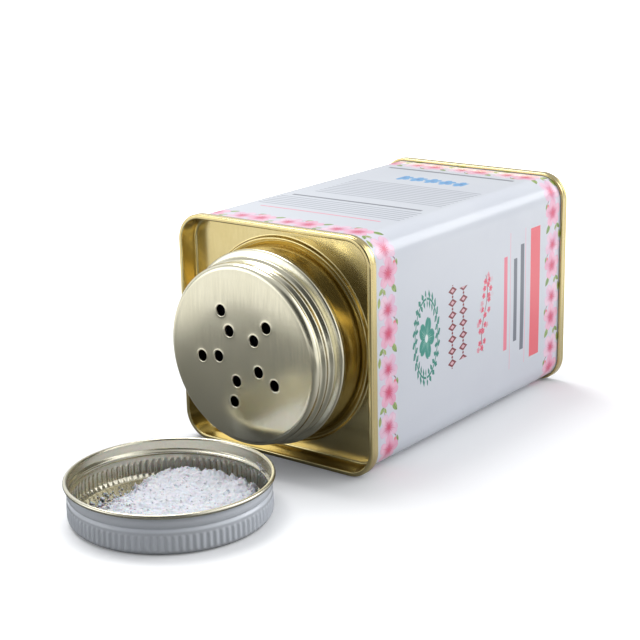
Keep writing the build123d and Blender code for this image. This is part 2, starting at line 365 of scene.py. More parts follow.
def box_mask(x, y, x0, x1, y0, y1, soft=0.05):
    d = nmax(nabs(x - (x0 + x1) / 2) - (x1 - x0) / 2, nabs(y - (y0 + y1) / 2) - (y1 - y0) / 2)
    return smooth(d, -soft, soft)


PERIM = 8 * CC + 2 * math.pi * (BODY - CC)
PERIOD = PERIM / 15
SIDE_STEP = PERIM / 4


def printed_body():
    """White enamel printed with blossom borders and plain generic label ornament.

    Attribute unroll: x = millimetres round the can from the middle of the
    label face towards the top, y = millimetres from the front rim.
    """
    m, t, b = new_mat("printed_body")
    s, a, _ = split(attr("unroll").outputs["Vector"])
    o = coords()
    col = mix(smooth(noise(o, 40, 3, 0.55), 0.35, 0.65), (0.650, 0.675, 0.735), (0.672, 0.697, 0.752))
    # ---- borders next to both rims
    front = ngt(55.0, a)
    mid_front, mid_back = 9.35, LEN - 7.8
    ya = (a - mid_front) * front + (mid_back - a) * (1 - front)
    u = nwrap(s + 7.6, -PERIOD / 2, PERIOD / 2)
    g = nwrap(s + 7.6 + PERIOD / 2, -PERIOD / 2, PERIOD / 2)
    n_edge = noise(o, 380, 3, 0.6)
    n_wide = noise(scaled(o, 1, 1.1, 0.9), 150, 2, 0.5)
    wob, wob2 = (n_edge - 0.5) * 1.1, (n_wide - 0.5) * 1.3
    band = ngt(5.4, nabs(ya))
    # a faint lilac wash behind the garland
    wash = smooth(nabs(ya), 3.2, 5.0) * band
    col = mix(wash * 0.30, col, srgb(238, 214, 236))
    # leaves and stems between the blossoms
    col = mix(line(ya, u, 0.2, 3.0, 3.4, 0.2, 0.30, 0.10) * band, col, srgb(122, 72, 78))
    col = mix(line(ya, u, 3.4, 0.2, 4.1, -1.6, 0.26, 0.10) * band, col, srgb(122, 78, 70))
    col = mix(line(ya, u, 0.6, -4.2, 2.9, -7.2, 0.26, 0.10) * band, col, srgb(130, 74, 74))
    col = mix(line(ya, g, -2.9, 1.5, -1.4, -2.2, 0.22, 0.10) * band, col, srgb(150, 110, 76))
    wx, wg = ya + wob * 0.3, g + wob2 * 0.3
    leaves = [leaf(wx, wg, -3.3, 0.55, 0.70, 2.6, 1.35), leaf(wx, wg, -1.7, 0.25, 2.1, 2.2, 1.0),
              leaf(wx, wg, 2.9, 0.45, 2.25, 3.9, 1.9), leaf(wx, wg, -4.3, -2.4, 1.45, 3.2, 1.4),
              leaf(ya, u, 4.3, -1.0, 1.75, 2.3, 0.95)]
    for i, (mk, rib) in enumerate(leaves):
        green = mix(rib, srgb(128, 160, 72), srgb(66, 108, 40)) if i % 2 == 0 else mix(
            rib, srgb(160, 176, 92), srgb(88, 118, 60))
        green = mix(smooth(n_edge, 0.35, 0.55) * 0.5, green, srgb(186, 204, 120))
        col = mix(mk * band, col, green)
    bud = smooth(nsqrt((ya - 3.1) * (ya - 3.1) + (u + 0.9) * (u + 0.9)), 0.45, 0.85)
    col = mix(bud * band, col, srgb(240, 128, 138))
    # the blossoms, two to a repeat: a pale one above, a fuller one below
    for k, (fa, fu, rad, rot, edge, face_c, mid_c, vein) in enumerate((
            (-0.1, 3.55, 4.75, 0.35, srgb(226, 176, 206), srgb(246, 212, 228), srgb(238, 132, 174), 0.90),
            (0.15, -3.45, 4.70, 1.0, srgb(232, 150, 184), srgb(246, 190, 212), srgb(232, 86, 142), 1.0))):
        px, py = ya - fa + wob * 0.45 + wob2 * 0.3, u - fu + wob * 0.35 - wob2 * 0.35
        petals, heart, streak, stam, rimline = petal_flower(px, py, rad, rot)
        dist = nsqrt(px * px + py * py)
        pet = mix(smooth(n_wide, 0.30, 0.62) * 0.75, face_c, edge)
        pet = mix(smooth(dist, 0.9, 3.0) * 0.75, pet, mid_c)
        pet = mix(rimline * 0.65, pet, edge)
        pet = mix(streak * vein, pet, srgb(208, 24, 92))
        pet = mix(heart * 0.95, pet, srgb(222, 26, 92))
        pet = mix(stam * 0.85, pet, srgb(190, 14, 74))
        col = mix(petals * band * 0.95, col, pet)
    # ---- label ornament: repeated on the two label faces
    face = nfloor(s / SIDE_STEP + 0.5)
    z = s - face * SIDE_STEP                     # across the face
    odd = nwrap(face, 0.0, 2.0)                  # 0 on label faces, 1 on the others
    is_label = ngt(0.5, odd)
    is_side = ngt(odd, 0.5)
    zl = z                                       # towards the top on the label face
    # foliage wreath in green
    wx, wy = (a - 28.6) / 6.6, zl / 13.2
    wr = nsqrt(wx * wx + wy * wy)
    wt = natan2(wy, wx)
    ring = smooth(nabs(wr - 0.90), 0.018, 0.035)
    lf = nwrap(wt * (24 / (2 * math.pi)), -0.5, 0.5)
    side_r = (wr - 0.90) * 5.4
    leafy = smooth(nabs(lf - side_r * 0.30) * 1.7 + nabs(nabs(side_r) - 0.55) * 1.0, 0.52, 0.64)
    gap = smooth(nabs(nabs(wt) - math.pi / 2), 0.0, 0.06)
    wreath = nmax(leafy, ring) * (1 - gap) * is_label
    col = mix(wreath, col, srgb(20, 132, 116))
    p4, h4, s4, t4, r4 = petal_flower((a - 28.6) * 1.55, zl, 6.6, 0.0)
    col = mix(p4 * is_label, col, srgb(30, 142, 126))
    col = mix(s4 * is_label * 0.9, col, srgb(176, 220, 208))
    col = mix(smooth(nabs(r4 - 0.5), 0.1, 0.3) * p4 * is_label * 0.6, col, srgb(150, 206, 194))
    col = mix(smooth(nsqrt((a - 28.6) * (a - 28.6) * 2.4 + zl * zl), 1.0, 1.4) * is_label, col, srgb(232, 240, 238))
    # two rows of lozenges and beads in maroon, in place of a name
    for ca, half in ((42.5, 12.9), (48.5, 11.2)):
        cellz = nwrap(zl, -1.86, 1.86)
        inside = smooth(nabs(zl), half - 0.15, half + 0.1) * is_label
        loz = smooth(nabs(cellz) / 1.32 + nabs(a - ca) / 2.35, 0.93, 1.05)
        core = smooth(nabs(cellz) / 0.62 + nabs(a - ca) / 1.10, 0.9, 1.1)
        bead = smooth(nsqrt((nabs(cellz) - 1.86) * (nabs(cellz) - 1.86) + (a - ca) * (a - ca)), 0.36, 0.52)
        col = mix(nmax(loz, bead) * inside, col, srgb(128, 14, 36))
        col = mix(core * inside * 0.9, col, srgb(232, 190, 198))
    # blossom sprig: scattered florets along a thin curved twig
    twig_a = 60.6 + nsin(zl * 0.23) * 1.6
    twig = smooth(nabs(a - twig_a), 0.10, 0.26) * smooth(nabs(zl), 11.6, 12.2)
    col = mix(twig * is_label, col, srgb(150, 60, 62))
    v = N.tree.nodes.new("ShaderNodeTexVoronoi")
    v.voronoi_dimensions = "2D"
    v.inputs["Scale"].default_value = 0.44
    v.inputs["Randomness"].default_value = 0.85
    t.links.new(combine(a, zl), v.inputs["Vector"])
    vx, vy, _ = split(v.outputs["Position"])
    hue, _, _ = split(v.outputs["Color"])
    fx, fy = a - vx, zl - vy
    near = smooth(nabs(vx - 60.6 - nsin(vy * 0.23) * 1.6), 2.1, 3.0) * smooth(nabs(vy), 11.4, 12.0)
    p2, h2, s2, t2, r2 = petal_flower(fx, fy, 1.02, hue * 6.0)
    fl = mix(h2, srgb(232, 96, 122), srgb(186, 26, 52))
    col = mix(p2 * near * is_label, col, fl)
    # plain rules and bars, in place of the printed words
    for a0, a1, half, c, k in ((72.0, 74.0, 15.0, srgb(240, 128, 148), 1.0),
                               (75.7, 75.95, 22.0, srgb(243, 170, 190), 1.0),
                               (77.9, 79.9, 13.4, srgb(72, 78, 96), 0.85),
                               (82.0, 84.2, 17.2, srgb(72, 78, 96), 0.85),
                               (84.9, 85.15, 22.0, srgb(243, 170, 190), 1.0),
                               (88.2, 94.2, 21.1, srgb(238, 96, 108), 1.0)):
        col = mix(box_mask(a, zl, a0, a1, -half, half, 0.08) * is_label * k, col, c)
    # side faces: fine grey rules, a pink rule and a row of blue rosettes
    for a0, a1, z0, z1, c, k in ((22.9, 23.7, -22, 22, srgb(238, 120, 150), 0.85),
                                 (41.0, 42.4, -24, 24, srgb(70, 76, 92), 0.8),
                                 (93.6, 95.2, -24, 24, srgb(70, 76, 92), 0.8)):
        col = mix(box_mask(a, z, a0, a1, z0, z1, 0.08) * is_side * k, col, c)
    rows = smooth(nabs(nwrap(a - 27.4, -1.1, 1.1)), 0.24, 0.40)
    block = box_mask(a, z, 26.3, 39.5, -26, 26) + box_mask(a, z, 48.5, 72.7, -26, 21)
    col = mix(rows * block * is_side * 0.62, col, srgb(96, 104, 124))
    bx, by = nwrap(z + 2.0, -2.7, 2.7), a - 81.0
    p3, h3, s3, t3, r3 = petal_flower(bx, by * 0.8, 2.9, 0.0)
    col = mix(p3 * is_side * box_mask(a, z, 77.0, 85.0, -14.4, 10.4) * 0.9, col,
              mix(h3, srgb(58, 158, 220), srgb(16, 96, 176)))
    set_in(b, Base_Color=col, Metallic=0.0, Coat_Weight=0.6, Coat_Roughness=0.12)
    set_in(b, Roughness=0.30 + (noise(o, 60, 2, 0.5) - 0.5) * 0.06)
    return m


PRINT = printed_body()


def powder_mat():
    m, t, b = new_mat("powder")
    o = coords()
    n1 = noise(o, 900, 4, 0.7)
    n2 = noise(o, 3200, 3, 0.7)
    v = N.tree.nodes.new("ShaderNodeTexVoronoi")
    v.inputs["Scale"].default_value = 1500
    t.links.new(o, v.inputs["Vector"])
    cell = N(v.outputs["Distance"])
    set_in(b, Base_Color=mix(smooth(n1, 0.3, 0.7), (0.80, 0.81, 0.85), (0.68, 0.695, 0.745)),
           Roughness=0.95, Subsurface_Weight=0.25, Subsurface_Scale=0.0006)
    b.inputs["Specular IOR Level"].default_value = 0.15
    bump(n1 * 0.6 + n2 * 0.3 + cell * 0.4, 0.8, 0.25 * MM, b)
    return m


POWDER = powder_mat()

# ------------------------------------------------------------------ can body
COLS = square_columns(56, 24)
NC = len(COLS)


def unroll_of(cols):
    out = []
    for rot, tt, arc in cols:
        q = rot / (math.pi / 2)
        base = q * SIDE_STEP
        out.append(base + (tt * CC if arc is None else CC + arc * (BODY - CC)))
    out = np.array(out)
    return np.where(out > PERIM - CC - 1e-6, out, out)


def build_body():
    rows = np.concatenate([[1.2, 1.6, 2.2], np.linspace(3.0, LEN - 3.0, 64), [LEN - 2.2, LEN - 1.6, LEN - 1.2]])
    nr = len(rows)
    sv = unroll_of(COLS)
    P = []
    for inner in (0, 1):
        for a in rows:
            edge = min(a - 3.0, LEN - 3.0 - a)
            k = max(0.0, min(1.0, edge / 20.0))
            ring = square_ring(COLS, BODY - 0.25 * inner)
            # the flat faces bow out by a tenth of a millimetre, and wander a little
            for i, (rot, tt, arc) in enumerate(COLS):
                if arc is None:
                    w = (1 - tt * tt) * k
                    q = rot + 0.7
                    d = w * (0.10 + 0.05 * math.sin(a * 0.071 + q * 2.1) * math.cos(tt * 2.3 + q))
                    ring[i] += (d * math.cos(rot), d * math.sin(rot))
            P.append(np.column_stack([ring[:, 0], np.full(NC, Y0 + a), MIDZ + ring[:, 1]]))
    P = np.array(P).reshape(-1, 3)
    faces = grid_faces(nr, NC)
    faces += grid_faces(nr, NC, base=nr * NC, flip=True)
    b2 = nr * NC
    for i in range(NC):
        j = (i + 1) % NC
        faces.append((j, i, b2 + i, b2 + j))
        r = (nr - 1) * NC
        faces.append((r + i, r + j, b2 + r + j, b2 + r + i))
    ob = make("can_body", P, faces)
    me = ob.data
    layer = me.attributes.new("unroll", "FLOAT_VECTOR", "CORNER")
    loops = np.zeros(len(me.loops), np.int32)
    me.loops.foreach_get("vertex_index", loops)
    per_s = sv[loops % NC]
    per_a = rows[(loops // NC) % nr]
    starts = np.zeros(len(me.polygons), np.int32)
    me.polygons.foreach_get("loop_start", starts)
    # the column where the count wraps: keep each face on one side of the jump
    for st in starts:
        seg = per_s[st:st + 4]
        if seg.max() - seg.min() > PERIM / 2:
            per_s[st:st + 4] = np.where(seg < PERIM / 2, seg + PERIM, seg)
    data = np.column_stack([per_s, per_a, np.zeros_like(per_s)]).astype(np.float32)
    layer.data.foreach_set("vector", data.ravel())
    ob.data.materials.append(PRINT)
    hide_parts("body_shell")
    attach(ob, "tin")
    return ob


build_body()


# ------------------------------------------------------------------ end panels
def loft(name, rows, mat, node, body, y_of, flip=False, caps=None):
    """Closed loop of rounded-square and round rings: rows are (kind, size, axial)."""
    P = []
    ang = np.arctan2(*square_ring(COLS, BODY)[:, ::-1].T)
    for kind, size, a, *rest in rows:
        if kind == "sq":
            ring = square_ring(COLS, size)
        elif kind == "sc":
            ring = square_ring(COLS, size, rest[0])
        else:
            ring = np.column_stack([size * np.cos(ang), size * np.sin(ang)])
        P.append(np.column_stack([ring[:, 0], np.full(NC, y_of(a)), MIDZ + ring[:, 1]]))
    P = np.array(P).reshape(-1, 3)
    faces = grid_faces(len(rows), NC, close_v=True, flip=flip)
    if caps is not None:
        faces = [q for q in faces if not (min(q) // NC == caps and max(q) // NC == caps + 1)]
        top, low = [tuple(k * NC + i for i in range(NC)) for k in (caps, caps + 1)]
        faces += [top[::-1], low] if flip else [top, low[::-1]]
    ob = make(name, P, faces)
    ob.data.materials.append(mat)
    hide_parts(node)
    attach(ob, body)
    return ob


def seam_rows(chuck_bottom):
    """Outside of the double seam, from under its hook, over the crown, to the foot of the chuck wall."""
    r = [("sq", 34.16, 2.92)]
    r += [("sq", h, a) for h, a in arc_pts(34.36, 2.80, 0.20, 180, 90, 3)]
    r += [("sq", 34.6, 3.0)]
    r += [("sq", h, a) for h, a in arc_pts(HALF - 0.38, 2.62, 0.38, 90, 0, 6)]
    r += [("sq", HALF, 2.2), ("sq", HALF - 0.01, 1.62), ("sq", HALF - 0.06, 1.42),
          ("sq", HALF - 0.17, 1.22), ("sq", HALF - 0.17, 1.08), ("sq", HALF - 0.08, 0.90), ("sq", HALF - 0.02, 0.74)]
    r += [("sq", h, a) for h, a in arc_pts(HALF - 0.60, 0.60, 0.60, 0, -90, 9)]
    r += [("sq", 34.2, -0.0)]
    r += [("sq", h, a) for h, a in arc_pts(33.95, 0.40, 0.40, 270, 180, 6)]
    r += [("sq", 33.52, 1.0), ("sq", 33.49, 2.4), ("sq", 33.44, chuck_bottom)]
    return r


def build_top_end():
    D = 5.8
    rows = seam_rows(D - 1.25)
    rows += [("sq", h, a) for h, a in arc_pts(32.34, D - 1.1, 1.1, 0, 90, 8)]
    rows += [("sq", 32.1, D), ("sq", 31.7, D), ("ci", 31.25, D), ("ci", 30.98, D)]
    # raised ring
    rows += [("ci", 30.66, D - 0.05), ("ci", 30.56, D - 0.18), ("ci", 30.50, D - 0.40)]
    rows += [("ci", r, a) for r, a in arc_pts(29.98, D - 0.50, 0.52, -6, -174, 12)]
    rows += [("ci", 29.44, D - 0.34), ("ci", 29.39, D - 0.10), ("ci", 29.34, D + 0.10)]
    rows += [("ci", 29.26, D + 0.22), ("ci", 29.16, D + 0.22), ("ci", 29.10, D + 0.12)]
    # foot of the collar and its wall
    rows += [("ci", 29.05, D - 0.02), ("ci", 28.98, D - 0.14), ("ci", 28.92, D - 0.26)]
    rows += [("ci", r, a) for r, a in arc_pts(29.50, D - 1.25, 1.12, 122, 180, 7)][1:]
    rows += [("ci", 28.40, 3.6), ("ci", 28.38, 2.0), ("ci", 28.38, 0.0), ("ci", 28.38, -2.0), ("ci", 28.36, -3.6)]
    rows += [("ci", 28.25, -3.95), ("ci", 27.9, -4.12), ("ci", 27.4, -4.12), ("ci", 27.4, -3.86),
             ("ci", 27.8, -3.86), ("ci", 28.1, -3.5), ("ci", 28.13, 0.0), ("ci", 28.15, 4.2),
             ("ci", 28.6, 5.5), ("ci", 29.2, 6.1), ("ci", 30.2, 5.3), ("ci", 30.9, 6.05), ("ci", 31.3, 6.05),
             ("sq", 31.9, 6.05), ("sq", 32.6, 6.0), ("sq", 33.4, 5.5), ("sq", 33.72, 4.7), ("sq", 33.78, 0.4),
             ("sq", 34.0, 0.26), ("sq", 34.5, 0.26), ("sq", 34.74, 0.5), ("sq", 34.74, 2.6), ("sq", 34.5, 2.76),
             ("sq", 34.40, 2.7), ("sq", 34.38, 1.05), ("sq", 34.18, 1.05), ("sq", 34.16, 2.0)]
    return loft("neck_end", rows, GOLD, "top_end", "tin", lambda a: Y0 + a)


def build_bottom_end():
    D = 5.8
    rows = seam_rows(D - 1.25)
    rows += [("sq", h, a) for h, a in arc_pts(32.34, D - 1.1, 1.1, 0, 90, 8)]
    rows += [("sq", 31.5, D), ("sq", 29.4, D)]
    for h, a in ((27.35, 5.8), (27.15, 5.76), (27.0, 5.66), (26.65, 5.0), (26.5, 4.88), (26.25, 4.8), (25.9, 4.8),
                 (22.0, 4.8), (15.0, 4.8), (8.0, 4.8), (2.0, 4.8)):
        rows.append(("sc", h, a, max(0.3, h - 7.0) if h > 8 else h * 0.55))
    middle = len(rows) - 1
    for h, a in ((2.0, 5.04), (15.0, 5.04), (25.9, 5.04), (26.5, 5.4), (27.1, 6.05)):
        rows.append(("sc", h, a, max(0.3, h - 7.0) if h > 8 else h * 0.55))
    rows += [("sq", 29.4, 6.05), ("sq", 32.6, 6.0), ("sq", 33.4, 5.5), ("sq", 33.72, 4.7), ("sq", 33.78, 0.4),
             ("sq", 34.0, 0.26), ("sq", 34.5, 0.26), ("sq", 34.74, 0.5), ("sq", 34.74, 2.6), ("sq", 34.5, 2.76),
             ("sq", 34.40, 2.7), ("sq", 34.38, 1.05), ("sq", 34.18, 1.05), ("sq", 34.16, 2.0)]
    ob = loft("closed_end", rows, GOLD, "bottom_end", "tin", lambda a: Y0 + LEN - a, flip=True, caps=middle)
    return ob


build_top_end()
build_bottom_end()

# ------------------------------------------------------------------ sifter neck
FACE = -14.85


def build_neck():
    """Pierced face, shoulder, rolled thread, flare and skirt, as one closed thin sheet."""
    nth = 720
    th = np.arange(nth) * 2 * math.pi / nth
    prof = []
    # outer wall profile (r, a) from the shoulder's start to the skirt edge
    fil, wall = 1.9, 26.2
    prof += [(24.60, FACE + 0.45)]
    prof += arc_pts(24.68, FACE + 0.45 + fil, fil, -86, 0, 11)
    prof += [(26.57, -12.35), (26.50, -12.22), (26.36, -12.06), (26.24, -11.92)]
    prof += [(wall, a) for a in np.linspace(-11.85, -5.95, 64)]
    prof += [(26.24, -5.75), (26.40, -5.6), (26.85, -5.42), (27.4, -5.25), (27.95, -5.10)]
    prof += [(28.38, -4.96), (28.62, -4.80), (28.74, -4.60), (28.80, -4.35), (28.80, -3.95), (28.80, -3.52)]
    prof += [(28.76, -3.38), (28.66, -3.31), (28.54, -3.38), (28.50, -3.55), (28.5, -4.2), (28.42, -4.55),
             (28.2, -4.7), (27.6, -4.9), (26.6, -5.2), (26.0, -5.5), (25.9, -5.9)]
    n_out = len(prof)
    prof += [(25.9, -9.0), (25.9, -12.2), (25.7, -13.2), (25.2, FACE + 1.0), (24.6, FACE + 0.75)]
    prof = np.array(prof)
    nr = len(prof)
    # rolled thread: right-handed, run out at both ends
    pitch, crest, turns = 3.6, 1.05, 1.5
    t0, a0 = math.radians(95), -11.2

    def thread(a):
        """Height of the rolled thread at depth a, for every column."""
        best = np.zeros(nth)
        for k in range(0, 4):
            turn = ((t0 - th) / (2 * math.pi)) % 1.0 + k
            d = np.abs(a - (a0 + turn * pitch))
            fade = np.clip(np.minimum(turn / 0.12, (turns - turn) / 0.12), 0, 1)
            fade = fade * fade * (3 - 2 * fade)
            best = np.maximum(best, crest * fade * np.exp(-(d / 0.74) ** 2.3))
        return best

    P = np.zeros((nr, nth, 3))
    for j, (r, a) in enumerate(prof):
        rr = np.full(nth, r)
        if -12.3 < a < -5.8 and r < 26.55 and j < n_out:
            rr = rr + thread(a)
        if r > 26 and j < n_out:
            # hand-rolled tin: the wall wanders by a few hundredths
            rr = rr + 0.04 * np.sin(3 * th + 0.4)
        P[j, :, 0] = rr * np.cos(th)
        P[j, :, 1] = Y0 + a
        P[j, :, 2] = MIDZ + rr * np.sin(th)
    verts = P.reshape(-1, 3).tolist()
    faces = grid_faces(nr, nth, flip=False)
    # ---- face with its pierced holes, top and underside
    holes = []
    for rad in (14.0, 7.7):
        for k in range(5):
            t = math.radians(44.5 + 72 * k)
            holes.append((rad * math.cos(t), rad * math.sin(t)))
    hole_n = 40

    def dish(r):
        """The face is a whisker proud in its middle and falls away towards the edge."""
        return -0.10 + 0.03 * (r / 14) ** 2 if r < 14 else -0.07 + 0.52 * ((r - 14) / 10.6) ** 1.9

    def ring_pts(cx, cy, r, n):
        return [(cx + r * math.cos(2 * math.pi * i / n), cy + r * math.sin(2 * math.pi * i / n)) for i in range(n)]

    pts, edges, hole_start = [], [], []
    pts += [(24.6 * math.cos(t), 24.6 * math.sin(t)) for t in th]
    edges += [(i, (i + 1) % nth) for i in range(nth)]
    for cx, cy in holes:
        s0 = len(pts)
        hole_start.append(s0)
        pts += ring_pts(cx, cy, 2.0, hole_n)
        edges += [(s0 + i, s0 + (i + 1) % hole_n) for i in range(hole_n)]
    # filling points, denser than the detail in the face
    for r in (23.6, 22.6, 21.6, 20.6, 19.4, 18.0, 16.6, 15.2, 13.6, 12.0, 10.4, 8.8, 7.2, 5.6, 4.0, 2.4, 0.9):
        n = max(6, int(2 * math.pi * r / 1.15))
        for i in range(n):
            t = 2 * math.pi * (i + 0.5 * (int(r * 10) % 2)) / n
            x, y = r * math.cos(t), r * math.sin(t)
            if all(math.hypot(x - cx, y - cy) > 3.0 for cx, cy in holes):
                pts.append((x, y))
    for cx, cy in holes:
        for rr, n in ((2.25, 36), (2.6, 32)):
            for x, y in ring_pts(cx, cy, rr, n):
                if math.hypot(x, y) < 23.9:
                    pts.append((x, y))
    res = geometry.delaunay_2d_cdt([Vector(p) for p in pts], edges, [], 0, 1e-6)
    v2, f2 = res[0], res[2]
    out_of = {k: i for i, src in enumerate(res[3]) for k in src}
    keep = []
    for f in f2:
        c = sum((v2[i] for i in f), Vector((0, 0))) / len(f)
        if c.length > 24.6 or any((c - Vector(h)).length < 1.99 for h in holes):
            continue
        keep.append(tuple(f))

    def raised(x, y):
        """A burr raised round every pierced hole, on the outside."""
        d = min(math.hypot(x - cx, y - cy) for cx, cy in holes)
        return -0.03 * math.exp(-((d - 2.0) / 0.25) ** 2)

    rim_index = {out_of[i]: i for i in range(nth)}
    for under in (0, 1):
        base_ring = 0 if not under else (nr - 1) * nth
        lookup = {}
        for i, p in enumerate(v2):
            if i in rim_index:
                lookup[i] = base_ring + rim_index[i]
            else:
                lookup[i] = len(verts)
                rr = p.length
                a = FACE + dish(rr) + (0.3 if under else raised(p.x, p.y))
                verts.append((p.x, Y0 + a, MIDZ + p.y))
        for f in keep:
            area = sum(v2[f[k]].x * v2[f[(k + 1) % len(f)]].y - v2[f[(k + 1) % len(f)]].x * v2[f[k]].y
                       for k in range(len(f)))
            ff = [lookup[i] for i in f]
            if (area > 0) != bool(under):
                ff = ff[::-1]
            faces.append(tuple(ff))
        if not under:
            top_lookup = lookup
        else:
            bot_lookup = lookup
    # ---- hole edges: rolled over into a short funnel
    for (cx, cy), s0 in zip(holes, hole_start):
        levels = [(2.0, None), (1.90, -0.055), (1.79, -0.06), (1.70, -0.01), (1.63, 0.10), (1.60, 0.28), (1.60, 0.60),
                  (1.70, 0.66), (1.80, 0.58), (1.88, 0.40), (2.0, None)]
        rows = []
        for li, (rr, da) in enumerate(levels):
            row = []
            for i in range(hole_n):
                x = cx + rr * math.cos(2 * math.pi * i / hole_n)
                y = cy + rr * math.sin(2 * math.pi * i / hole_n)
                if li == 0:
                    row.append(top_lookup[out_of[s0 + i]])
                elif li == len(levels) - 1:
                    row.append(bot_lookup[out_of[s0 + i]])
                else:
                    row.append(len(verts))
                    verts.append((x, Y0 + FACE + dish(math.hypot(x, y)) + da, MIDZ + y))
            rows.append(row)
        for ra, rb in zip(rows[:-1], rows[1:]):
            for i in range(hole_n):
                j = (i + 1) % hole_n
                faces.append((ra[i], rb[i], rb[j], ra[j]))
    ob = make("sifter", verts, faces)
    import bmesh
    bm = bmesh.new()
    bm.from_mesh(ob.data)
    bmesh.ops.recalc_face_normals(bm, faces=bm.faces)
    bm.to_mesh(ob.data)
    bm.free()
    ob.data.materials.append(NECK)
    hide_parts("sifter_neck")
    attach(ob, "tin")


build_neck()


# ------------------------------------------------------------------ lid
def build_lid():
    nth = 768
    th = np.arange(nth) * 2 * math.pi / nth
    ribs = 96
    base_wall = LID_R - 0.90
    lip_c, lip_r, lip_z = LID_R - 0.62, 0.62, LH - 0.62

    def corr(z):
        """How strongly the ribs show at height z."""
        lo = max(0.0, min(1.0, (z - 0.5) / 1.3))
        hi = max(0.0, min(1.0, (5.7 - z) / 0.8))
        return lo * lo * (3 - 2 * lo) * hi * hi * (3 - 2 * hi)

    def shell(name, prof, mat, slot_name, t_in=0.0, thread=None, wave_sign=1.0):
        P = np.zeros((len(prof), nth, 3))
        for j, (r, z, side) in enumerate(prof):
            c = corr(z) * (1 if r > LID_R - 3.0 else 0)
            wv = np.cos(ribs * th)
            wv = np.sign(wv) * np.abs(wv) ** 0.8
            rr = r + (0.20 if side == 'o' else 0.15) * c * wv
            if thread is not None and side == "in":
                rr = rr + thread(z)
            P[j, :, 0] = LX + rr * np.cos(th)
            P[j, :, 1] = LY + rr * np.sin(th)
            P[j, :, 2] = z
        verts = P.reshape(-1, 3)
        faces = grid_faces(len(prof), nth)
        return verts, faces

    # outside: white, from the centre of the underside out and up to the curl
    corner = 1.7
    outer = [(0.3, 0.05, "o"), (6.0, 0.05, "o"), (16.0, 0.05, "o"), (22.5, 0.05, "o"), (22.9, 0.11, "o"),
             (23.3, 0.11, "o"), (23.7, 0.03, "o"), (24.2, 0.0, "o"), (base_wall - corner, 0.0, "o")]
    outer += [(r, z, "o") for r, z in arc_pts(base_wall - corner, corner, corner, -90, 0, 10)][1:]
    for z in np.linspace(1.9, 5.8, 16):
        outer.append((base_wall, z, "o"))
    for z in np.linspace(6.0, 10.15, 26):
        groove = 0.42 * math.exp(-((z - 7.2) / 0.40) ** 2)
        bulge = 0.12 * math.exp(-((z - 8.6) / 0.75) ** 2) + 0.08 * math.exp(-((z - 6.35) / 0.4) ** 2)
        outer.append((base_wall - groove + bulge, z, "o"))
    outer += [(base_wall + 0.02, 10.35, "o")]
    # inner face of the white skin, a hair inside the metal
    back = [(max(r - 0.10, 0.3), max(z, 0.12), "o") for r, z, _ in outer[::-1]]
    v, f = shell("w", outer + back, LID_WHITE, "white_lacquer")
    f = f + [tuple(range(nth))[::-1], tuple(len(outer + back) * nth - nth + i for i in range(nth))]
    ob = make("lid_outside", v, f)
    ob.data.materials.append(LID_WHITE)
    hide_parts("lid_shell")
    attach(ob, "lid")

    # inside: pale gold, from the curl down the wall and over the floor
    pitch = 3.35

    def thr(z):
        best = np.zeros(nth)
        for k in range(0, 2):
            turn = ((th - math.radians(250)) / (2 * math.pi)) % 1.0 + k
            fade = np.clip(np.minimum(turn / 0.08, (1.30 - turn) / 0.08), 0, 1)
            best = np.maximum(best, 0.55 * fade * np.exp(-(np.abs(z - 5.4 - turn * pitch) / 0.50) ** 2.2))
        return -best

    inner = []
    inner += [(r, z, "lip") for r, z in arc_pts(lip_c, lip_z, lip_r, -100, 200, 20)]
    iw = base_wall - 0.28
    for z in np.linspace(10.35, 6.4, 26):
        groove = 0.40 * math.exp(-((z - 7.25) / 0.42) ** 2)
        inner.append((iw - groove, z, "in"))
    for z in np.linspace(6.2, 1.75, 18):
        inner.append((iw, z, "in"))
    ic = corner - 0.25
    inner += [(r, z, "c") for r, z in arc_pts(iw - ic, 0.28 + ic, ic, 0, -90, 9)][1:]
    inner += [(24.2, 0.27, "f"), (23.7, 0.29, "f"), (23.3, 0.36, "f"), (22.9, 0.36, "f"), (22.5, 0.30, "f"),
              (18.0, 0.28, "f"), (12.0, 0.28, "f"), (6.0, 0.28, "f"), (0.3, 0.28, "f")]
    under = [(0.3, 0.16, "u"), (12.0, 0.16, "u"), (22.4, 0.16, "u"), (iw - ic, 0.16, "u"), (iw - 0.6, 0.55, "u"), (iw + 0.10, 1.75, "u"), (iw + 0.10, 6.2, "u"),
             (iw - 0.32, 7.25, "u"), (iw + 0.10, 8.4, "u"), (iw + 0.12, 10.0, "u")]
    allp = inner + under
    v, f = shell("g", allp, LID_IN, "lid_inside", thread=thr)
    ni = len(inner)
    faces = [q for q in grid_faces(len(allp), nth, close_v=True)
             if not (min(q) // nth == ni - 1 and max(q) // nth == ni)]
    faces += [tuple((ni - 1) * nth + i for i in range(nth)), tuple(ni * nth + i for i in range(nth))[::-1]]
    ob = make("lid_inside", v, faces)
    import bmesh
    bm = bmesh.new()
    bm.from_mesh(ob.data)
    bmesh.ops.recalc_face_normals(bm, faces=bm.faces)
    bm.to_mesh(ob.data)
    bm.free()
    ob.data.materials.append(LID_IN)
    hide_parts("lid_shell")
    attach(ob, "lid")


build_lid()


# ------------------------------------------------------------------ powder
def value_noise(seed, size=64):
    r = np.random.default_rng(seed)
    g = r.random((size, size))

    def f(x, y):
        xi, yi = np.floor(x).astype(int), np.floor(y).astype(int)
        xf, yf = x - xi, y - yi
        xf, yf = xf * xf * (3 - 2 * xf), yf * yf * (3 - 2 * yf)
        a, b = g[xi % size, yi % size], g[(xi + 1) % size, yi % size]
        c, d = g[xi % size, (yi + 1) % size], g[(xi + 1) % size, (yi + 1) % size]
        return (a * (1 - xf) + b * xf) * (1 - yf) + (c * (1 - xf) + d * xf) * yf - 0.5
    return f


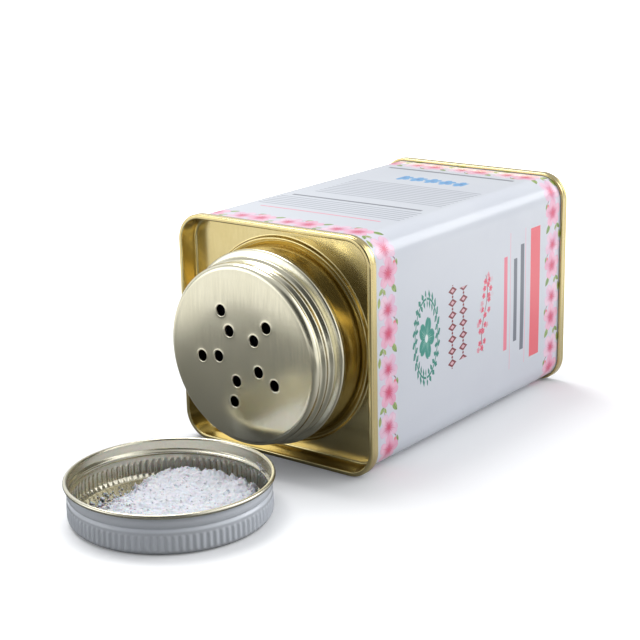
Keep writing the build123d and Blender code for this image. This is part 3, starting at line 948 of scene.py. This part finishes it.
def icosphere(sub):
    import bmesh
    bm = bmesh.new()
    bmesh.ops.create_icosphere(bm, subdivisions=sub, radius=1.0)
    vs = np.array([v.co[:] for v in bm.verts])
    fs = [tuple(v.index for v in f.verts) for f in bm.faces]
    bm.free()
    return vs, fs


ICO = {1: icosphere(1), 2: icosphere(2)}


def clump(centre, radius, rng, sub=1):
    """A small irregular grain: a dented, flattened ball."""
    base, fs = ICO[sub]
    p = base * rng.uniform(0.78, 1.22, (len(base), 1)) * (1.0, rng.uniform(0.62, 1.0), 0.85)
    ax = rng.uniform(0, math.pi)
    c, si = math.cos(ax), math.sin(ax)
    x, y = p[:, 0] * c - p[:, 1] * si, p[:, 0] * si + p[:, 1] * c
    out = np.column_stack([x, y, p[:, 2]]) * radius + centre
    return out.tolist(), fs


FLOOR = 0.30
HEAP_EDGE = [(-21.0, 9.5), (-19.4, 6.4), (-17.2, 4.6), (-16.4, 2.2), (-17.4, 0.2), (-15.6, -2.2), (-17.0, -4.2),
             (-14.6, -6.4), (-16.0, -9.0), (-12.6, -10.8), (-13.0, -13.6), (-9.6, -15.2), (-9.4, -18.4), (-5.0, -20.4),
             (-2.4, -23.8), (6.0, -25.0), (14.0, -21.6), (20.0, -16.4), (24.6, -8.4), (25.6, 1.0), (24.2, 9.4),
             (20.2, 16.0), (14.6, 20.6), (8.0, 23.8), (0.0, 25.2), (-7.6, 23.6), (-14.0, 20.2), (-18.6, 15.4)]


def edge_distance(x, y):
    """Signed distance to the outline of the heap, positive inside."""
    pts = np.array(HEAP_EDGE)
    best = np.full(x.shape, 1e9)
    inside = np.zeros(x.shape, bool)
    for (x0, y0), (x1, y1) in zip(pts, np.roll(pts, -1, axis=0)):
        dx, dy = x1 - x0, y1 - y0
        t = np.clip(((x - x0) * dx + (y - y0) * dy) / (dx * dx + dy * dy), 0, 1)
        best = np.minimum(best, np.hypot(x - x0 - t * dx, y - y0 - t * dy))
        cross = ((y0 > y) != (y1 > y)) & (x < dx * (y - y0) / (dy + 1e-12) + x0)
        inside ^= cross
    return np.where(inside, best, -best)


def heap_height(x, y):
    n = [value_noise(100 + k) for k in range(6)]
    big = n[0](x * 0.16 + 9, y * 0.16 + 4)
    mid = n[1](x * 0.42 + 2, y * 0.42 + 7)
    small = n[2](x * 1.1, y * 1.1)
    tiny = n[3](x * 2.4, y * 2.4)
    grain = n[4](x * 4.6, y * 4.6)
    d = edge_distance(x, y) + mid * 2.4 + small * 1.7 + tiny * 0.8
    slope = 1.9 + 0.055 * (y + 8)
    back = np.clip((y - 6) / 18, 0, 1)
    peaks = (1.5 * np.exp(-(((x + 2.5) / 4.2) ** 2 + ((y - 20.5) / 4.5) ** 2))
             + 1.3 * np.exp(-(((x - 9.5) / 3.6) ** 2 + ((y - 18.5) / 4.0) ** 2))
             + 0.7 * np.exp(-(((x + 11) / 4.0) ** 2 + ((y - 17) / 4.0) ** 2))
             - 0.9 * np.exp(-(((x - 4.0) / 2.6) ** 2 + ((y - 22.5) / 3.4) ** 2)))
    top = slope + 1.0 * back + peaks + big * 1.2 + mid * 0.75
    rise = 1 - np.exp(-np.clip(d, 0, None) / 1.7)
    h = top * rise + (small * 0.55 + tiny * 0.42 + grain * 0.22) * np.clip(rise * 2.2, 0, 1)
    wall = np.clip((26.75 - np.hypot(x, y)) / 0.8, 0, 1)
    h = np.where(d > 0, np.maximum(h, 0.05), 0.0)
    return h * (0.25 + 0.75 * wall), d


def build_powder():
    step = 0.30
    k = int(27.0 / step)
    ax = np.arange(-k, k + 1) * step
    X, Y = np.meshgrid(ax, ax, indexing="ij")
    jit = RNG.uniform(-0.08, 0.08, (2,) + X.shape)
    X, Y = X + jit[0], Y + jit[1]
    H, D = heap_height(X, Y)
    H = np.where((D > 0) & (np.hypot(X, Y) < 26.7), H, 0.0)
    n = len(ax)
    cell = (H[:-1, :-1] > 0) | (H[1:, :-1] > 0) | (H[:-1, 1:] > 0) | (H[1:, 1:] > 0)
    ok = np.hypot(X, Y) < 26.8
    cell &= ok[:-1, :-1] & ok[1:, :-1] & ok[:-1, 1:] & ok[1:, 1:]
    used = {}
    verts, faces = [], []

    def vid(i, j, low):
        key = (i, j, low)
        if key not in used:
            used[key] = len(verts)
            z = FLOOR - 0.03 if low else FLOOR - 0.03 + 0.04 + H[i, j]
            verts.append((LX + X[i, j], LY + Y[i, j], z))
        return used[key]

    ii, jj = np.nonzero(cell)
    for i, j in zip(ii.tolist(), jj.tolist()):
        q = [(i, j), (i + 1, j), (i + 1, j + 1), (i, j + 1)]
        faces.append(tuple(vid(a, b, 0) for a, b in q))
        faces.append(tuple(vid(a, b, 1) for a, b in q[::-1]))
        for (a, b), (ni, nj) in (((q[0], q[1]), (i, j - 1)), ((q[1], q[2]), (i + 1, j)),
                                 ((q[2], q[3]), (i, j + 1)), ((q[3], q[0]), (i - 1, j))):
            if not (0 <= ni < n - 1 and 0 <= nj < n - 1 and cell[ni, nj]):
                faces.append((vid(*b, 0), vid(*a, 0), vid(*a, 1), vid(*b, 1)))
    # grains standing proud of the heap, thickest on its ragged edge
    rng = np.random.default_rng(7)
    count = 0
    while count < 900:
        x, y = rng.uniform(-26, 26, 2)
        if math.hypot(x, y) > 25.9:
            continue
        h, d = heap_height(np.array([x]), np.array([y]))
        if d[0] < 0.2:
            continue
        near = math.exp(-d[0] / 2.0)
        if rng.random() > 0.25 + near:
            continue
        r = rng.uniform(0.16, 0.34) + 0.22 * near * rng.random()
        vs, fs = clump((LX + x, LY + y, FLOOR + float(h[0]) + r * 0.25), r, rng)
        b = len(verts)
        verts += vs
        faces += [tuple(q + b for q in f) for f in fs]
        count += 1
    ob = make("powder_pile", verts, faces)
    ob.data.materials.append(POWDER)
    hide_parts("powder_heap")
    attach(ob, "lid")

    # loose grains on the bare floor and a dusting up the wall
    verts, faces = [], []

    def add(cx, cy, cz, r, sub=1):
        vs, fs = clump((LX + cx, LY + cy, cz), r, rng, sub)
        b = len(verts)
        verts.extend(vs)
        faces.extend(tuple(q + b for q in f) for f in fs)

    def scatter(cx, cy, spread, number, rmin, rmax):
        made = 0
        while made < number:
            x, y = rng.normal(cx, spread[0]), rng.normal(cy, spread[1])
            r = rng.uniform(rmin, rmax) * rng.uniform(0.5, 1.0)
            if math.hypot(x, y) > 26.3 - r:
                continue
            add(x, y, FLOOR - 0.02 + r * 0.72, r)
            made += 1

    for cx, cy, r in ((-23.2, -1.5, 0.62), (-21.6, -4.6, 0.80), (-20.5, -0.9, 0.55), (-19.4, -7.6, 0.92),
                      (-18.2, -3.4, 0.70), (-22.1, -8.2, 0.60), (-17.2, -10.6, 0.85), (-19.8, -12.0, 0.55),
                      (-18.0, -6.0, 0.60), (-14.6, -13.8, 0.80), (-16.6, -15.4, 0.60), (-12.2, -17.2, 0.70),
                      (-12.9, -19.8, 0.50), (-9.2, -20.8, 0.60), (-18.8, 1.6, 0.50)):
        for _ in range(4):
            add(cx + rng.normal(0, 0.45 * r), cy + rng.normal(0, 0.45 * r), FLOOR + r * rng.uniform(0.35, 0.8),
                r * rng.uniform(0.45, 0.75))
    scatter(-18.5, -4.5, (2.6, 4.2), 130, 0.14, 0.50)
    scatter(-14.5, -13.0, (2.6, 3.4), 110, 0.14, 0.50)
    scatter(-20.0, 0.0, (2.4, 6.0), 70, 0.08, 0.24)
    scatter(-6.0, -21.5, (5.0, 1.8), 60, 0.12, 0.42)
    scatter(-19.0, 6.0, (3.0, 4.5), 50, 0.07, 0.20)
    wall_r = LID_R - 1.33 - 0.20
    for t0_, t1_, z0, z1, number, rmax in ((52, 82, 5.6, 8.9, 46, 0.26), (70, 120, 5.2, 7.4, 34, 0.2),
                                          (20, 60, 4.2, 7.0, 26, 0.22), (60, 68, 8.2, 9.4, 12, 0.34),
                                          (80, 92, 7.8, 8.6, 8, 0.22)):
        for _ in range(number):
            t, z, r = math.radians(rng.uniform(t0_, t1_)), rng.uniform(z0, z1), rng.uniform(0.09, rmax)
            rr = wall_r - 0.3 - (0.25 if z > 5 else 0)
            add(rr * math.cos(t), rr * math.sin(t), z, r)
    for t in (48.0, 71.5, 96.0, 118.0, 204.0, 66.0):
        add((LID_R - 0.62) * math.cos(math.radians(t)), (LID_R - 0.62) * math.sin(math.radians(t)), LH - 0.08, 0.12)
    ob = make("powder_grains", verts, faces)
    ob.data.materials.append(POWDER)
    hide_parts("powder_crumbs")
    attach(ob, "lid")


build_powder()

# ------------------------------------------------------------------ pieces kept from the frame
for node, mat, slot_name in (("top_seam_compound", SEAL, "sealant"), ("bottom_seam_compound", SEAL, "sealant"),
                             ("powder_charge", POWDER, "powder")):
    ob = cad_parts[node]
    for k in range(len(ob.material_slots)):
        ob.material_slots[k].material = mat
    if not ob.material_slots:
        ob.data.materials.append(mat)

# ------------------------------------------------------------------ floor, light, camera
def plane(name, z, mat, half=3.0):
    me = bpy.data.meshes.new(name)
    me.from_pydata([(-half, -half, z), (half, -half, z), (half, half, z), (-half, half, z)], [], [(0, 1, 2, 3)])
    me.materials.append(mat)
    ob = bpy.data.objects.new(name, me)
    bpy.context.collection.objects.link(ob)
    return ob


# floor seen only by the camera: painted light, it glows weakly round the tin so its shadows stay dark, and glows
# strongly from about 0.12 m out in place of lamplight on the tabletop
m, t, b = new_mat("glowing_floor")
qx, qy, _ = split(coords())
glow = 0.06 + (1 - smooth(nsqrt(qx * qx + qy * qy), 0.12, 0.30)) * 0.55
set_in(b, Base_Color=(0.97, 0.97, 0.975), Roughness=0.9, Emission_Color=(1.0, 1.0, 1.0), Emission_Strength=glow)
b.inputs["Specular IOR Level"].default_value = 0.0
floor = plane("floor", 0.0, m)
floor.visible_glossy = False
floor.visible_diffuse = False
# floor seen only in reflections and bounce light: painted shade in dark pools in front of the tin and towards the
# camera, and painted light where it glows beyond about 0.15 m
m, t, b = new_mat("reflected_floor_shade_glow")
px, py, _ = split(coords())
rr = nsqrt(px * px + py * py)
far_glow = 1 - smooth(rr, 0.15, 0.235)


# a round pool of painted shade on the hidden floor
def shade_pool(cx, cy, r0, r1):
    qx, qy = px - cx, py - cy
    return smooth(nsqrt(qx * qx + qy * qy), r0, r1)


# painted shade: the floor's colour drops to dark grey in these pools, and its glow is switched off there
shade = nmax(shade_pool(-0.02, -0.12, 0.08, 0.15), shade_pool(0.22, -0.27, 0.18, 0.27))
far_glow = far_glow * (1 - shade)
set_in(b, Base_Color=mix(shade, (0.85, 0.85, 0.86), (0.26, 0.26, 0.25)), Roughness=0.9,
       Emission_Color=(1.0, 0.99, 0.96), Emission_Strength=far_glow * 0.5)
b.inputs["Specular IOR Level"].default_value = 0.0
under = plane("reflected_floor_shade_glow", -0.0002, m)
under.visible_camera = False
under.visible_shadow = False

w = bpy.data.worlds.new("studio")
SCENE.world = w
w.use_nodes = True
N.tree = w.node_tree
bg = w.node_tree.nodes["Background"]
gx, gy, gz = split(coords_world())


def lobe(dx, dy, dz, inner, outer):
    L = math.sqrt(dx * dx + dy * dy + dz * dz)
    d = gx * (dx / L) + gy * (dy / L) + gz * (dz / L)
    return 1 - smooth(d, math.cos(math.radians(outer)), math.cos(math.radians(inner)))


sky = 0.40 + (1 - smooth(gz, 0.15, 0.8)) * 0.24
sky = sky + lobe(0.92, 0.35, 0.28, 26, 52) * 0.75           # fill from the right
sky = sky + lobe(0.50, 0.74, 0.44, 12, 16) * 2.4           # softbox behind, along the tin's top corner
sky = sky + lobe(-0.66, -0.72, 0.16, 14, 30) * 1.7         # softbox low on the left, in front
sky = sky + lobe(-0.9, 0.3, 0.35, 16, 40) * 0.6            # fill from the left
sky = sky * (1 - lobe(0.50, -0.72, 0.48, 20, 42) * 0.85)    # unlit side, where the camera stands
sky = nmax(sky, 0.02)
N.tree.links.new(sky.s, bg.inputs["Strength"])
bg.inputs["Color"].default_value = (0.96, 0.98, 1.0, 1)


def area(name, loc, target, size, power, size_y=None, color=(1, 1, 1)):
    li = bpy.data.lights.new(name, "AREA")
    li.shape = "RECTANGLE" if size_y else "SQUARE"
    li.size = size
    if size_y:
        li.size_y = size_y
    li.energy = power
    li.color = color
    ob = bpy.data.objects.new(name, li)
    bpy.context.collection.objects.link(ob)
    d = Vector(target) - Vector(loc)
    ob.location = loc
    ob.rotation_euler = d.to_track_quat("-Z", "Y").to_euler()
    return ob


area("top_box", (-0.35, 0.10, 0.85), (0, 0, 0), 0.50, 5.0)
area("right_box", (0.50, 0.30, 0.42), (0.03, 0.04, 0.05), 0.34, 0.7, 0.7)

cam_data = bpy.data.cameras.new("camera")
cam = bpy.data.objects.new("camera", cam_data)
bpy.context.collection.objects.link(cam)
SCENE.camera = cam
az, el, roll = 0.6752735869, 0.2819372136, -0.0268097351
back = Vector((math.sin(az) * math.cos(el), -math.cos(az) * math.cos(el), math.sin(el)))
right = (-back).cross(Vector((0, 0, 1))).normalized()
up = right.cross(-back)
r2 = right * math.cos(roll) + up * math.sin(roll)
u2 = up * math.cos(roll) - right * math.sin(roll)
M = Matrix((r2, u2, back)).transposed().to_4x4()
M.translation = Vector((0.270159, (Y0 - 330.052) * MM, 0.164414))
cam.matrix_world = M
cam_data.sensor_width = 36.0
cam_data.lens = 1545.597 * 36 / 640
cam_data.shift_x = 0.0506
cam_data.shift_y = 0.0058
cam_data.clip_start = 0.01
cam_data.clip_end = 20

SCENE.view_settings.view_transform = "Standard"
SCENE.cycles.use_denoising = True
SCENE.cycles.caustics_reflective = False
SCENE.cycles.sample_clamp_indirect = 3.0
SCENE.cycles.sample_clamp_direct = 12.0
